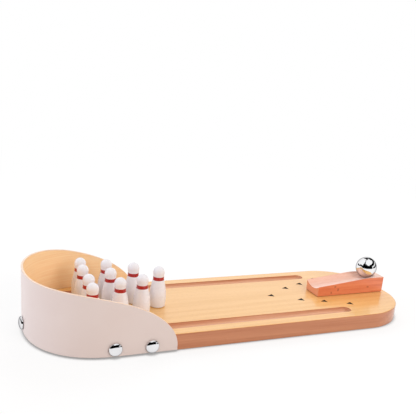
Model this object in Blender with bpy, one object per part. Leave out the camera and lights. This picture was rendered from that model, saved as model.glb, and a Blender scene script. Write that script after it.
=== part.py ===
"""Tabletop bowling game: a round-ended board with two gutters, a bent guard, a ramp, a ball and ten pins.

The origin is the centre of the board's underside. +X runs up the lane to the player's end, where the ramp
stands, +Y across it and +Z up. Everything is in metres, and the named sizes below drive every piece.
"""

from math import asin, atan2, cos, pi, radians, sin, sqrt

import bmesh
import bpy
from mathutils import Matrix, Vector

MM = 0.001

# Fits shared by every piece
FIT_GAP = 0.3 * MM          # clearance between pieces that touch, rest or screw into each other
CUT_OVERRUN = 2.0 * MM      # how far a cutter reaches past the surface that it opens

# Lane board
BOARD_LENGTH = 288.0 * MM
BOARD_WIDTH = 98.0 * MM     # the pin end is bent round to this width
BOARD_THICKNESS = 11.6 * MM
BOARD_CORNER_RADIUS = 40.0 * MM
BOARD_EDGE_ROUNDING = 0.6 * MM
BEND_FULLNESS = 2.24        # 2 would make the pin end a true half circle, and more makes it squarer
BEND_STEPS = 40             # segments of the pin end, the same for board and guard
BOARD_CORNER_STEPS = 14

# Gutters, cut along both sides from the pin end
GUTTER_WIDTH = 9.2 * MM
GUTTER_DEPTH = 3.5 * MM
GUTTER_MARGIN = 8.4 * MM        # board left outside each gutter
GUTTER_END_MARGIN = 53.6 * MM   # board left between a gutter's round end and the player's end
GUTTER_SIDES = 32

# Aiming marks, pressed into the lane as seven arrowheads in a V
ARROW_LENGTH = 5.1 * MM
ARROW_WIDTH = 5.0 * MM
ARROW_DEPTH = 0.4 * MM
ARROW_SIDE_OFFSET = 1.4 * MM    # the V sits a little off the lane's middle
ARROW_FIELD_START = 101.5 * MM  # from the player's end to the middle of the leading arrowhead
ARROW_FIELD_LENGTH = 54.5 * MM  # from the leading arrowhead back to the last pair
# Each pair's place, as a share of the field's length and of half the lane between the gutters
ARROW_PAIR_SHARES = ((0.36, 0.40), (0.67, 0.61), (1.0, 0.88))

# Guard, a thin strip bent round the pin end
GUARD_THICKNESS = 1.5 * MM
GUARD_HEIGHT = 44.2 * MM        # top of the rim above the table
GUARD_FOOT_HEIGHT = 1.2 * MM    # the lower edge stays clear of the table
GUARD_TOE_HEIGHT = 4.4 * MM     # top of the upright front edge at each toe
GUARD_REACH = 89.8 * MM         # from the board's pin end to the guard's toes
GUARD_SIDE_STEPS = 12

# Studs that nail the guard to the board's edge
STUD_HEAD_DIAMETER = 9.0 * MM
STUD_HEAD_HEIGHT = 2.4 * MM
STUD_RIM_THICKNESS = 0.5 * MM
STUD_SHANK_DIAMETER = 1.6 * MM
STUD_SHANK_LENGTH = 7.5 * MM    # grip in the board
STUD_FRONT_HEIGHT = 5.8 * MM    # middle of the front studs above the table
STUD_REAR_HEIGHT = 6.3 * MM
STUD_END_HEIGHT = 7.4 * MM      # the same for the one at the end of the bend
STUD_TOE_SETBACK = 17.4 * MM    # from a toe to the front stud, along the guard
STUD_SPACING = 24.4 * MM        # from the front stud to the next one
STUD_SIDES = 16
STUD_DOME_STEPS = 5

# Ramp, a block with a sloping round-bottomed channel that ends in a round seat for the ball
RAMP_LENGTH = 61.6 * MM
RAMP_WIDTH = 17.6 * MM
RAMP_HEIGHT = 12.5 * MM
RAMP_END_MARGIN = 4.2 * MM      # lane left behind the ramp
RAMP_SIDE_OFFSET = -0.4 * MM    # it was set down a little off the lane's middle
RAMP_EDGE_ROUNDING = 0.4 * MM
CHANNEL_RADIUS = 14.5 * MM
CHANNEL_SIDE_OFFSET = -0.3 * MM # from the ramp's middle to the channel's
CHANNEL_FOOT_HEIGHT = 5.0 * MM  # bottom of the channel above the ramp's underside, at its low end
CHANNEL_SEAT_HEIGHT = 10.2 * MM     # the same under the ball
CHANNEL_SEAT_SETBACK = 11.7 * MM    # from the ramp's high end to the point under the ball
CHANNEL_SIDES = 64

# Ball
BALL_DIAMETER = 16.8 * MM
BALL_SIDES = 28
BALL_RINGS = 16

# Pins
PIN_HEIGHT = 29.5 * MM
PIN_BASE_DIAMETER = 11.2 * MM
PIN_BASE_ROUNDING = 0.5 * MM
PIN_BELLY_DIAMETER = 12.2 * MM
PIN_BELLY_HEIGHT = 7.0 * MM
PIN_SHOULDER_DIAMETER = 8.2 * MM
PIN_BAND_DIAMETER = 7.8 * MM
PIN_BAND_START = 19.85 * MM     # underside of the painted band
PIN_BAND_HEIGHT = 2.5 * MM
PIN_NECK_DIAMETER = 7.6 * MM
PIN_HEAD_DIAMETER = 8.2 * MM
PIN_SIDES = 20
PIN_FOOT_STEPS = 2
PIN_BODY_STEPS = 6
PIN_NECK_STEPS = 2
PIN_DOME_STEPS = 4

# Rack of ten pins, one row of four at the back down to one at the front
RACK_ROWS = 4
RACK_GAP_ALONG = 4.8 * MM       # free space between rows
RACK_GAP_ACROSS = 5.3 * MM      # free space between the pins of a row
PIT_DEPTH = 40.7 * MM           # from the board's pin end to the back row
# How far each pin was set down off its place, along and across, as shares of the rack's two gaps,
# from the front row to the back row
PIN_OFFSET_SHARES = (
    ((0.13, 0.05),),
    ((0.26, -0.90), (0.46, 0.44)),
    ((0.38, 0.11), (0.08, 0.58), (0.41, 0.73)),
    ((-0.31, 0.53), (-0.04, 0.37), (0.02, 0.76), (0.33, 0.27)),
)

# Places that several pieces share
HALF_WIDTH = BOARD_WIDTH / 2
PIN_END_X = -BOARD_LENGTH / 2
PLAYER_END_X = BOARD_LENGTH / 2
BEND_MIDDLE_X = PIN_END_X + HALF_WIDTH
SEAT_HEIGHT = BOARD_THICKNESS + FIT_GAP     # underside of what stands on the lane
GUARD_INNER_OFFSET = FIT_GAP                # from the board's edge to the guard's inner face
GUARD_OUTER_OFFSET = GUARD_INNER_OFFSET + GUARD_THICKNESS
GUARD_TOE_X = PIN_END_X + GUARD_REACH
GUTTER_CENTRE_Y = HALF_WIDTH - GUTTER_MARGIN - GUTTER_WIDTH / 2
GUTTER_RADIUS = (GUTTER_WIDTH ** 2 / 4 + GUTTER_DEPTH ** 2) / (2 * GUTTER_DEPTH)
LANE_HALF_WIDTH = GUTTER_CENTRE_Y - GUTTER_WIDTH / 2
RAMP_HIGH_X = PLAYER_END_X - RAMP_END_MARGIN
RAMP_LOW_X = RAMP_HIGH_X - RAMP_LENGTH
CHANNEL_SEAT_X = RAMP_HIGH_X - CHANNEL_SEAT_SETBACK
CHANNEL_Y = RAMP_SIDE_OFFSET + CHANNEL_SIDE_OFFSET
CHANNEL_ANGLE = atan2(CHANNEL_SEAT_HEIGHT - CHANNEL_FOOT_HEIGHT, CHANNEL_SEAT_X - RAMP_LOW_X)


def make_material(name, colour, roughness, metallic=0.0):
    """Return a Principled material with one linear colour."""
    material = bpy.data.materials.new(name)
    material.use_nodes = True
    shader = material.node_tree.nodes["Principled BSDF"]
    shader.inputs["Base Color"].default_value = (*colour, 1.0)
    shader.inputs["Roughness"].default_value = roughness
    shader.inputs["Metallic"].default_value = metallic
    material.diffuse_color = (*colour, 1.0)
    return material


def make_object(name, bm, materials, smooth_angle=None):
    """Turn a bmesh into an object with outward faces, shaded smooth below an edge angle if one is given."""
    bmesh.ops.recalc_face_normals(bm, faces=bm.faces)
    mesh = bpy.data.meshes.new(name)
    bm.to_mesh(mesh)
    bm.free()
    for material in materials:
        mesh.materials.append(material)
    if smooth_angle is not None:
        mesh.shade_smooth()
        mesh.set_sharp_from_angle(angle=smooth_angle)
    thing = bpy.data.objects.new(name, mesh)
    bpy.context.scene.collection.objects.link(thing)
    return thing


def make_cutter(name, bm, material=None):
    """Turn a bmesh into a guide object that only cuts others."""
    cutter = make_object(name, bm, [material] if material else [])
    cutter.hide_render = True
    cutter.display_type = "WIRE"
    return cutter


def cut(thing, cutter):
    """Subtract the cutter from the thing, and give the cut the cutter's own material where it has one."""
    modifier = thing.modifiers.new("cut " + cutter.name, "BOOLEAN")
    modifier.operation = "DIFFERENCE"
    modifier.solver = "EXACT"
    modifier.object = cutter
    modifier.material_mode = "TRANSFER" if cutter.data.materials else "INDEX"


def round_edges(thing, width, angle=radians(40)):
    """Round a thing's sharp edges by one named width."""
    modifier = thing.modifiers.new("rounded edges", "BEVEL")
    modifier.width = width
    modifier.segments = 2
    modifier.limit_method = "ANGLE"
    modifier.angle_limit = angle


def arc_points(centre_x, centre_y, radius, start, end, steps):
    """Return the points of an arc from one angle to another, both ends included."""
    points = []
    for i in range(steps + 1):
        angle = start + (end - start) * i / steps
        points.append((centre_x + radius * cos(angle), centre_y + radius * sin(angle)))
    return points


def extrude_outline(points, low, high):
    """Return a bmesh of a flat outline raised from one height to another."""
    bm = bmesh.new()
    face = bm.faces.new([bm.verts.new((x, y, low)) for x, y in points])
    raised = bmesh.ops.extrude_face_region(bm, geom=[face])["geom"]
    lifted = [item for item in raised if isinstance(item, bmesh.types.BMVert)]
    bmesh.ops.translate(bm, vec=Vector((0, 0, high - low)), verts=lifted)
    return bm


def turn_outline(outline, sides):
    """Return a bmesh of (radius, height) points turned about Z, from the lower pole to the upper."""
    bm = bmesh.new()
    rings = []
    for radius, height in outline:
        if radius == 0:
            rings.append([bm.verts.new((0, 0, height))])
            continue
        ring = []
        for i in range(sides):
            angle = 2 * pi * i / sides
            ring.append(bm.verts.new((radius * cos(angle), radius * sin(angle), height)))
        rings.append(ring)
    for lower, upper in zip(rings, rings[1:]):
        for i in range(sides):
            j = (i + 1) % sides
            below = [lower[i % len(lower)], lower[j % len(lower)]]
            above = [upper[j % len(upper)], upper[i % len(upper)]]
            bm.faces.new(list(dict.fromkeys(below + above)))
    return bm


def eased(start, end, share):
    """Return a value that leaves start and reaches end level, for a share from 0 to 1."""
    return start + (end - start) * (1 - cos(pi * share)) / 2


def bend_points(offset):
    """Return the far half of the pin end's bend as (x, y) points and ways out, from its side to its end.

    The bend is the curve |x|^n + |y|^n = 1, as large as half the board's width, moved out by an offset.
    """
    points = []
    half_steps = BEND_STEPS // 2
    power = 1 / BEND_FULLNESS
    for i in range(half_steps + 1):
        angle = pi / 2 * i / half_steps
        along, across = sin(angle) ** 2, cos(angle) ** 2
        place = Vector((-(along ** power), across ** power)) * HALF_WIDTH
        outward = Vector((-(along ** (1 - power)), across ** (1 - power))).normalized()
        point = Vector((BEND_MIDDLE_X, 0)) + place + outward * offset
        points.append(((point.x, point.y), (outward.x, outward.y)))
    return points


def board_outline():
    """Return the board's outline: a half round at the pin end and two large corners at the player's end."""
    corner_x = PLAYER_END_X - BOARD_CORNER_RADIUS
    corner_y = HALF_WIDTH - BOARD_CORNER_RADIUS
    points = [point for point, _ in bend_points(0)]
    points += [(x, -y) for x, y in points[-2::-1]]
    points += arc_points(corner_x, -corner_y, BOARD_CORNER_RADIUS, -pi / 2, 0, BOARD_CORNER_STEPS)
    points += arc_points(corner_x, corner_y, BOARD_CORNER_RADIUS, 0, pi / 2, BOARD_CORNER_STEPS)
    return points


def ball_nosed_rod(radius, length, sides):
    """Return a bmesh of a round rod along Z whose far end is a half ball centred at Z = 0."""
    outline = [(0, -length), (radius, -length)]
    steps = sides // 4
    for i in range(steps):
        angle = pi / 2 * i / steps
        outline.append((radius * cos(angle), radius * sin(angle)))
    outline.append((0, radius))
    return turn_outline(outline, sides)


def gutter_cutter(side):
    """Return the cutter of one gutter: a ball-nosed rod, sunk into the lane from above."""
    nose_x = PLAYER_END_X - GUTTER_END_MARGIN - GUTTER_WIDTH / 2
    bm = ball_nosed_rod(GUTTER_RADIUS, nose_x - PIN_END_X + CUT_OVERRUN, GUTTER_SIDES)
    lift = BOARD_THICKNESS - GUTTER_DEPTH + GUTTER_RADIUS
    place = Matrix.Translation((nose_x, side * GUTTER_CENTRE_Y, lift)) @ Matrix.Rotation(pi / 2, 4, "Y")
    bmesh.ops.transform(bm, matrix=place, verts=bm.verts)
    return make_cutter("gutter cutter", bm)


def arrow_places():
    """Return the middle of each arrowhead: one in front, then three pairs that fan out towards the player."""
    front = PLAYER_END_X - ARROW_FIELD_START
    places = [(front, ARROW_SIDE_OFFSET)]
    for along, across in ARROW_PAIR_SHARES:
        for side in (-1, 1):
            y = ARROW_SIDE_OFFSET + side * across * LANE_HALF_WIDTH
            places.append((front + along * ARROW_FIELD_LENGTH, y))
    return places


def arrow_cutter(x, y, material):
    """Return the cutter of one arrowhead that points to the pins."""
    tip = (x - ARROW_LENGTH * 2 / 3, y)
    barbs = [(x + ARROW_LENGTH / 3, y - ARROW_WIDTH / 2), (x + ARROW_LENGTH / 3, y + ARROW_WIDTH / 2)]
    bm = extrude_outline([tip, *barbs], BOARD_THICKNESS - ARROW_DEPTH, BOARD_THICKNESS + CUT_OVERRUN)
    return make_cutter("arrow cutter", bm, material)


def guard_half_path(offset):
    """Return the guard's far side as (x, y) points and ways out, from toe to pin end.

    It runs at an offset from the board's edge. The points of the straight side crowd towards the toe, where
    the rim drops fastest.
    """
    last = asin((BEND_MIDDLE_X - PIN_END_X) / GUARD_REACH)
    points = []
    for i in range(GUARD_SIDE_STEPS):
        angle = pi / 2 + (last - pi / 2) * i / GUARD_SIDE_STEPS
        points.append(((PIN_END_X + GUARD_REACH * sin(angle), HALF_WIDTH + offset), (0, 1)))
    return points + bend_points(offset)


def guard_rim_height(x):
    """Return the height of the guard's rim, a quarter ellipse from the pin end down to each toe."""
    share = min(max((x - PIN_END_X) / GUARD_REACH, 0), 1)
    return GUARD_TOE_HEIGHT + (GUARD_HEIGHT - GUARD_TOE_HEIGHT) * sqrt(1 - share ** 2)


def guard_station(distance, height):
    """Return a place on the guard's outer face and the way out of it.

    The place lies at a distance from the far toe, or at the pin end where the distance runs past it.
    """
    path = guard_half_path(GUARD_OUTER_OFFSET)
    travelled = 0.0
    for (start, way), (end, next_way) in zip(path, path[1:]):
        step = (Vector(end) - Vector(start)).length
        if travelled + step >= distance:
            share = (distance - travelled) / step
            place, outward = Vector(start).lerp(Vector(end), share), Vector(way).lerp(Vector(next_way), share)
            return Vector((*place, height)), Vector((*outward, 0)).normalized()
        travelled += step
    place, outward = path[-1]
    return Vector((*place, height)), Vector((*outward, 0))


def stud_places():
    """Return the place and outward way of each stud: two on each side and one at the end of the bend."""
    far = [guard_station(STUD_TOE_SETBACK, STUD_FRONT_HEIGHT),
           guard_station(STUD_TOE_SETBACK + STUD_SPACING, STUD_REAR_HEIGHT)]
    mirror = Matrix.Scale(-1, 3, Vector((0, 1, 0)))
    near = [(mirror @ place, mirror @ outward) for place, outward in far]
    end = guard_station(BOARD_LENGTH, STUD_END_HEIGHT)
    return [*near, end, *reversed(far)]


def stud_hole_cutter(place, outward):
    """Return the cutter of one stud's hole through the guard and into the board."""
    bm = bmesh.new()
    depth = CUT_OVERRUN + GUARD_THICKNESS + FIT_GAP + STUD_SHANK_LENGTH + FIT_GAP
    radius = STUD_SHANK_DIAMETER / 2 + FIT_GAP
    bmesh.ops.create_cone(bm, cap_ends=True, segments=STUD_SIDES, radius1=radius, radius2=radius, depth=depth)
    centre = place + outward * (CUT_OVERRUN - depth / 2)
    turn = outward.to_track_quat("Z", "Y").to_matrix().to_4x4()
    bmesh.ops.transform(bm, matrix=Matrix.Translation(centre) @ turn, verts=bm.verts)
    return make_cutter("stud hole cutter", bm)


def build_lane_board(wood, burnt, hole_cutters):
    """Build the board with its gutters, aiming marks and nail holes."""
    board = make_object("lane_board", extrude_outline(board_outline(), 0, BOARD_THICKNESS), [wood, burnt])
    round_edges(board, BOARD_EDGE_ROUNDING)
    for side in (-1, 1):
        cut(board, gutter_cutter(side))
    for x, y in arrow_places():
        cut(board, arrow_cutter(x, y, burnt))
    for cutter in hole_cutters:
        cut(board, cutter)
    return board


def build_guard(white, hole_cutters):
    """Build the bent guard as one closed strip between its inner and outer face."""
    bm = bmesh.new()
    walls = []
    for offset in (GUARD_INNER_OFFSET, GUARD_OUTER_OFFSET):
        half = [point for point, _ in guard_half_path(offset)]
        path = [(x, -y) for x, y in half] + half[-2::-1]
        walls.append(path)
    sections = []
    for inner, outer in zip(*walls):
        foot, rim = GUARD_FOOT_HEIGHT, guard_rim_height(outer[0])
        corners = [(*inner, foot), (*outer, foot), (*outer, rim), (*inner, rim)]
        sections.append([bm.verts.new(corner) for corner in corners])
    for here, after in zip(sections, sections[1:]):
        for i in range(4):
            j = (i + 1) % 4
            bm.faces.new([here[i], here[j], after[j], after[i]])
    bm.faces.new(sections[0])
    bm.faces.new(sections[-1])
    guard = make_object("guard_band", bm, [white], radians(30))
    for cutter in hole_cutters:
        cut(guard, cutter)
    return guard


def build_stud(name, place, outward, chrome):
    """Build one domed stud whose shank runs through the guard into the board."""
    head = STUD_HEAD_DIAMETER / 2
    shank = STUD_SHANK_DIAMETER / 2
    tip = -(FIT_GAP + GUARD_THICKNESS + FIT_GAP + STUD_SHANK_LENGTH)
    outline = [(0, tip), (shank, tip + shank), (shank, 0), (head, 0)]
    dome = STUD_HEAD_HEIGHT - STUD_RIM_THICKNESS
    for i in range(STUD_DOME_STEPS):
        angle = pi / 2 * i / STUD_DOME_STEPS
        outline.append((head * cos(angle), STUD_RIM_THICKNESS + dome * sin(angle)))
    outline.append((0, STUD_HEAD_HEIGHT))
    stud = make_object(name, turn_outline(outline, STUD_SIDES), [chrome], radians(50))
    stud.rotation_mode = "QUATERNION"
    stud.rotation_quaternion = outward.to_track_quat("Z", "Y")
    stud.location = place + outward * FIT_GAP
    return stud


def above_channel_seat(distance):
    """Return the point at a distance square to the channel's bottom line, above the ball's seat."""
    x = CHANNEL_SEAT_X - distance * sin(CHANNEL_ANGLE)
    return Vector((x, CHANNEL_Y, SEAT_HEIGHT + CHANNEL_SEAT_HEIGHT + distance * cos(CHANNEL_ANGLE)))


def build_ramp(wood):
    """Build the ramp: a block, cut from above by a ball-nosed rod that climbs to the ball's seat."""
    half = RAMP_WIDTH / 2
    outline = [(RAMP_LOW_X, -half), (RAMP_HIGH_X, -half), (RAMP_HIGH_X, half), (RAMP_LOW_X, half)]
    ramp = make_object("ramp", extrude_outline(outline, 0, RAMP_HEIGHT), [wood])
    ramp.location = (0, RAMP_SIDE_OFFSET, SEAT_HEIGHT)
    round_edges(ramp, RAMP_EDGE_ROUNDING)
    length = (CHANNEL_SEAT_X - RAMP_LOW_X) / cos(CHANNEL_ANGLE) + CHANNEL_RADIUS
    bm = ball_nosed_rod(CHANNEL_RADIUS, length, CHANNEL_SIDES)
    place = Matrix.Translation(above_channel_seat(CHANNEL_RADIUS))
    turn = Matrix.Rotation(pi / 2 - CHANNEL_ANGLE, 4, "Y")
    bmesh.ops.transform(bm, matrix=place @ turn, verts=bm.verts)
    cut(ramp, make_cutter("channel cutter", bm))
    return ramp


def build_ball(steel):
    """Build the ball where it waits at the top of the ramp's channel."""
    radius = BALL_DIAMETER / 2
    outline = [(0, -radius)]
    for i in range(1, BALL_RINGS):
        angle = pi * i / BALL_RINGS
        outline.append((radius * sin(angle), -radius * cos(angle)))
    outline.append((0, radius))
    ball = make_object("ball", turn_outline(outline, BALL_SIDES), [steel], pi)
    ball.location = above_channel_seat(radius + FIT_GAP)
    return ball


def pin_outline():
    """Return a pin's outline: foot, belly, shoulder, sunk band, neck and round head."""
    base = PIN_BASE_DIAMETER / 2
    belly = PIN_BELLY_DIAMETER / 2
    shoulder = PIN_SHOULDER_DIAMETER / 2
    band = PIN_BAND_DIAMETER / 2
    neck = PIN_NECK_DIAMETER / 2
    head = PIN_HEAD_DIAMETER / 2
    band_end = PIN_BAND_START + PIN_BAND_HEIGHT
    dome_start = PIN_HEIGHT - head
    outline = [(0, 0), (base - PIN_BASE_ROUNDING, 0)]
    for i in range(PIN_FOOT_STEPS):
        share = i / PIN_FOOT_STEPS
        height = PIN_BASE_ROUNDING + (PIN_BELLY_HEIGHT - PIN_BASE_ROUNDING) * share
        outline.append((base + (belly - base) * sin(pi / 2 * share), height))
    for i in range(PIN_BODY_STEPS + 1):
        share = i / PIN_BODY_STEPS
        height = PIN_BELLY_HEIGHT + (PIN_BAND_START - PIN_BELLY_HEIGHT) * share
        outline.append((shoulder + (belly - shoulder) * cos(pi / 2 * share), height))
    outline += [(band, PIN_BAND_START), (band, band_end)]
    for i in range(PIN_NECK_STEPS):
        share = i / PIN_NECK_STEPS
        outline.append((eased(neck, head, share), band_end + (dome_start - band_end) * share))
    for i in range(PIN_DOME_STEPS):
        angle = pi / 2 * i / PIN_DOME_STEPS
        outline.append((head * cos(angle), dome_start + head * sin(angle)))
    return outline + [(0, PIN_HEIGHT)]


def pin_mesh(white, red):
    """Return the mesh that all pins share, with the sunk band in its own colour."""
    bm = turn_outline(pin_outline(), PIN_SIDES)
    band_middle = PIN_BAND_START + PIN_BAND_HEIGHT / 2
    for face in bm.faces:
        if abs(face.calc_center_median().z - band_middle) < PIN_BAND_HEIGHT / 4:
            face.material_index = 1
    model = make_object("pin shape", bm, [white, red], radians(35))
    mesh = model.data
    bpy.data.objects.remove(model)
    return mesh


def pin_places():
    """Return each pin's place on the lane, from the front pin to the back row."""
    pitch_along = PIN_BELLY_DIAMETER + RACK_GAP_ALONG
    pitch_across = PIN_BELLY_DIAMETER + RACK_GAP_ACROSS
    places = []
    for row, offsets in enumerate(PIN_OFFSET_SHARES):
        row_x = PIN_END_X + PIT_DEPTH + (RACK_ROWS - 1 - row) * pitch_along
        for i, (along, across) in enumerate(offsets):
            row_y = (i - row / 2) * pitch_across
            places.append((row_x + along * RACK_GAP_ALONG, row_y + across * RACK_GAP_ACROSS))
    return places


def build_pins(white, red):
    """Stand the ten pins on the lane."""
    mesh = pin_mesh(white, red)
    pins = []
    for number, (x, y) in enumerate(pin_places(), start=1):
        pin = bpy.data.objects.new(f"pin_{number}", mesh)
        pin.location = (x, y, SEAT_HEIGHT)
        bpy.context.scene.collection.objects.link(pin)
        pins.append(pin)
    return pins


def build_game():
    """Build every piece of the game."""
    lane_wood = make_material("lane wood", (0.80, 0.56, 0.33), 0.45)
    burnt = make_material("burnt mark", (0.035, 0.02, 0.013), 0.8)
    guard_white = make_material("guard white", (0.80, 0.73, 0.70), 0.4)
    ramp_wood = make_material("ramp wood", (0.72, 0.33, 0.17), 0.5)
    chrome = make_material("stud chrome", (0.80, 0.80, 0.80), 0.12, 1.0)
    steel = make_material("ball steel", (0.86, 0.86, 0.87), 0.05, 1.0)
    pin_white = make_material("pin white", (0.86, 0.82, 0.82), 0.25)
    pin_red = make_material("pin red", (0.44, 0.003, 0.006), 0.3)
    places = stud_places()
    hole_cutters = [stud_hole_cutter(place, outward) for place, outward in places]
    build_lane_board(lane_wood, burnt, hole_cutters)
    build_guard(guard_white, hole_cutters)
    for number, (place, outward) in enumerate(places, start=1):
        build_stud(f"guard_stud_{number}", place, outward, chrome)
    build_ramp(ramp_wood)
    build_ball(steel)
    build_pins(pin_white, pin_red)


for old in list(bpy.data.objects):
    bpy.data.objects.remove(old)
build_game()
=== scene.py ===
"""Looks of a tabletop bowling game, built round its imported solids.

A lacquered beech lane with two gutters carries a thin guard bent round its pin end, white outside and bare
inside. Ten enamelled pins stand in the bend, and a polished ball waits on a loose ramp at the player's end.
Every length is in metres, in the frame's axes: +X along the lane to the player's end, +Y across it, +Z up.
"""

import logging
from dataclasses import dataclass, field, replace
from enum import Enum
from typing import Any, Optional, Sequence

import bmesh
import bpy
import numpy as np
from bpy.types import Material, Mesh, Node, NodeSocket, NodeTree, Object
from mathutils import Matrix, Vector


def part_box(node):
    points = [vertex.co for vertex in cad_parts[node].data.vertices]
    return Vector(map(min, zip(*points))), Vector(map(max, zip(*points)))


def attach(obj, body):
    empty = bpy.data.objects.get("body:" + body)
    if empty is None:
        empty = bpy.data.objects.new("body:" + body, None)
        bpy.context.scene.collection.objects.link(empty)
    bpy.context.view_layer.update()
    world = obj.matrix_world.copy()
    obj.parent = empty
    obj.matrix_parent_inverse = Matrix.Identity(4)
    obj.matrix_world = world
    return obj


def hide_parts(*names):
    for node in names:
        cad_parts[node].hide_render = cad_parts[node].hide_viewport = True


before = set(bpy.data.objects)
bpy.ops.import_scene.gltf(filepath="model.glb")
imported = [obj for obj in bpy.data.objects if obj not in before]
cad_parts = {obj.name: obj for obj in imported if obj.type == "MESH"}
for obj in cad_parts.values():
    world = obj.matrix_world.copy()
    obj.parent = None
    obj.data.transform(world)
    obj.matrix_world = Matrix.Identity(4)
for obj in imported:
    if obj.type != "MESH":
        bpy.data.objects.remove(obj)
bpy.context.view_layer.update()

LOG = logging.getLogger("bowling_game")

MM = 0.001
FIT_GAP = 0.3 * MM          # clearance that the solids keep where real pieces touch
CUT_OVERRUN = 2.0 * MM      # how far a cutter reaches past what it opens
FINE_ROUND = 96             # segments of a full turn on the larger round forms
RIM_STEPS = 5               # segments of a quarter round on an eased edge
BEVEL_STEPS = 3             # segments of an edge that sandpaper eased
BEND_FULLNESS = 2.24        # power of the pin end's curve; 2 would be a true half circle
SMOOTH_ANGLE = np.radians(32)   # an edge that turns further than this is sharp
WAVE_PERIOD = np.pi / 10    # scale at which a ring texture repeats once a unit
CLEAR_IOR = 1.5             # typical of lacquer, enamel and wood
MIX_A, MIX_B = 6, 7         # colour sockets A and B of a Mix node, which share their names with others
NEAR_SIDE = np.array([1.0, -1.0])   # factors that mirror points of the far side to the near one

Triple = tuple[float, float, float]


class Body(Enum):
    """The rigid bodies that pieces ride on, apart from the pins' own."""

    BASE = "base"
    RAMP = "ramp"
    BALL = "ball"


class Slot(Enum):
    """The record's material slots."""

    LANE = "lane_wood"
    GUARD = "guard_white"
    STUD = "stud_chrome"
    RAMP = "ramp_wood"
    BALL = "ball_steel"
    PIN = "pin_white"


class Grain(Enum):
    """What a wood's pattern follows: the solid block, or a bent strip's length and height."""

    BLOCK = "Object"
    STRIP = "UV"


# Shapes


@dataclass
class Surface:
    """A shell, closed unless it is a floor or a card: its points, its faces and what these carry.

    Attributes:
        points: Rows of x, y, z.
        faces: Corner numbers of each face.
        finishes: The number of each face's material, or None where all have the first.
        strip: Rows of distance along and height up a bent strip, one for each point, or None.
    """

    points: np.ndarray
    faces: list[list[int]]
    finishes: Optional[np.ndarray] = None
    strip: Optional[np.ndarray] = None

    def placed(self, matrix: Matrix) -> "Surface":
        """Return the surface turned and moved by a 4 by 4 matrix."""
        turn = np.array(matrix)
        return replace(self, points=self.points @ turn[:3, :3].T + turn[:3, 3])


def quarter_turn(steps: int) -> np.ndarray:
    """Angles from 0 to a right angle in even steps."""
    return np.linspace(0, np.pi / 2, steps + 1)


def shares(steps: int) -> np.ndarray:
    """Shares of a stretch in even steps, without the 0 and with the 1."""
    return np.linspace(0, 1, steps + 1)[1:]


def walked(path: np.ndarray) -> np.ndarray:
    """Distance walked along a path to each of its points."""
    return np.concatenate([[0.0], np.cumsum(np.linalg.norm(np.diff(path, axis=0), axis=1))])


def round_corner(centre: Sequence[float], radius: float, turn: float,
                 steps: int) -> tuple[np.ndarray, np.ndarray]:
    """A quarter round: its ways out are (cos a, sin a), and its points centre + radius (cos a, sin a).

    Args:
        centre: The round's middle, x and y.
        radius: Its radius.
        turn: Where it starts, in half turns from +X.
        steps: Number of segments.

    Returns:
        Rows of x, y, and the unit way out at each.
    """
    angle = np.linspace(turn * np.pi, (turn + 0.5) * np.pi, steps + 1)
    ways = np.column_stack([np.cos(angle), np.sin(angle)])
    return centre + radius * ways, ways


def bend(half_width: float, offset: float) -> tuple[np.ndarray, np.ndarray]:
    """The far half of the pin end's bend about its own middle, from the side to the end.

    The bend is |x|^n + |y|^n = w^n. With a running over a quarter turn, its points are w times the 2/n powers
    of -sin a and cos a, and its ways out follow the 2 - 2/n powers. Each point then moves out by the offset.

    Args:
        half_width: w, half the board's width.
        offset: How far outside the board's edge the curve runs.

    Returns:
        Rows of x, y, and the unit way out at each.
    """
    angle = quarter_turn(FINE_ROUND // 2)
    along, across = np.sin(angle) ** 2, np.cos(angle) ** 2
    power = 1 / BEND_FULLNESS
    ways = np.column_stack([-along ** (1 - power), across ** (1 - power)])
    ways /= np.linalg.norm(ways, axis=1, keepdims=True)
    return np.column_stack([-along ** power, across ** power]) * half_width + ways * offset, ways


def dome(radius: float, rise: float, foot: float, steps: int) -> np.ndarray:
    """The profile of a dome: radius cos a at height foot + rise sin a, over a quarter turn up to the axis.

    Args:
        radius: Radius at the dome's foot.
        rise: Height of the dome itself.
        foot: Height of its foot.
        steps: Number of segments.

    Returns:
        Rows of radius, height.
    """
    angle = quarter_turn(steps)
    profile = np.column_stack([radius * np.cos(angle), foot + rise * np.sin(angle)])
    profile[-1, 0] = 0
    return profile


def ring_quads(rings: int, count: int) -> tuple[np.ndarray, np.ndarray]:
    """Number the points of closed rings and join each ring to the next.

    Args:
        rings: Number of rings.
        count: Points in each.

    Returns:
        The points' numbers, one row for each ring, and the four corners of each quad.
    """
    here = np.arange(rings * count).reshape(rings, count)
    after = np.roll(here, -1, axis=1)
    return here, np.stack([here[:-1], after[:-1], after[1:], here[1:]], axis=-1).reshape(-1, 4)


def turned(profile: np.ndarray, sides: int) -> Surface:
    """A profile turned about Z: each point is (r cos a, r sin a, h), and both ends are poles.

    Args:
        profile: Rows of radius, height from the lower pole to the upper, whose first and last radius is 0.
        sides: Segments round the axis.

    Returns:
        The closed surface.
    """
    angle = np.linspace(0, 2 * np.pi, sides, endpoint=False)
    radius, height = profile[1:-1].T
    rings = np.stack([np.outer(radius, np.cos(angle)), np.outer(radius, np.sin(angle)),
                      np.repeat(height[:, None], sides, axis=1)], axis=-1)
    points = np.vstack([rings.reshape(-1, 3), [[0, 0, profile[0, 1]], [0, 0, profile[-1, 1]]]])
    here, quads = ring_quads(len(radius), sides)
    low, high = np.full(sides, len(points) - 2), np.full(sides, len(points) - 1)
    foot = np.stack([low, np.roll(here[0], -1), here[0]], axis=-1)
    crown = np.stack([high, here[-1], np.roll(here[-1], -1)], axis=-1)
    return Surface(points, quads.tolist() + foot.tolist() + crown.tolist())


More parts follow.
